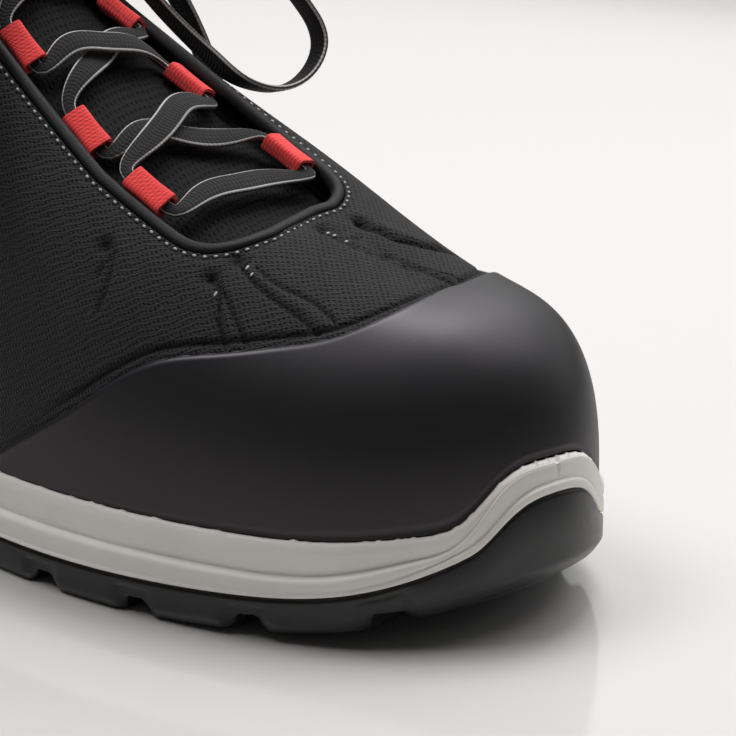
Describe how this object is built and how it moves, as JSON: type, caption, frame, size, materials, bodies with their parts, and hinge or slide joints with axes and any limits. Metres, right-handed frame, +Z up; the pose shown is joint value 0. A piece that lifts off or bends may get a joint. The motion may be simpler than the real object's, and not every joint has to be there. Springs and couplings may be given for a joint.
{
  "type": "safety shoe",
  "caption": "Low sport-style safety shoe for the right foot: knitted upper, smooth toe guard, foam midsole with a raised toe band, lugged outsole and laces through webbing loops.",
  "frame": {"origin": "on the floor under the middle of the sole's box", "axes": "+X from heel to toe, +Y to the medial side, +Z up"},
  "size_m": [0.2966, 0.116, 0.1587],
  "materials": {
    "rubber": "satin black moulded rubber",
    "foam": "light warm grey moulded foam, satin skin",
    "lining": "black open mesh",
    "knit": "black knitted fabric, matt",
    "guard": "dark grey smooth moulded skin, satin",
    "binding": "dark grey woven edging, satin",
    "webbing": "red woven webbing, matt",
    "lace": "black flat lace with light grey edge threads"
  },
  "bodies": {
    "root": {"outsole": "rubber", "midsole": "foam", "insole": "lining", "upper": "knit", "toe_guard": "guard", "tongue": "lining", "throat_binding": "binding", "lace_loop_lateral_1": "webbing", "lace_loop_lateral_2": "webbing", "lace_loop_lateral_3": "webbing", "lace_loop_lateral_4": "webbing", "lace_loop_medial_1": "webbing", "lace_loop_medial_2": "webbing", "lace_loop_medial_3": "webbing", "lace_loop_medial_4": "webbing", "lacing": "lace", "lace_knot": "lace", "bow_loop_medial": "lace", "bow_loop_lateral": "lace", "lace_end_medial": "lace", "lace_end_lateral": "lace"}
  },
  "joints": []
}
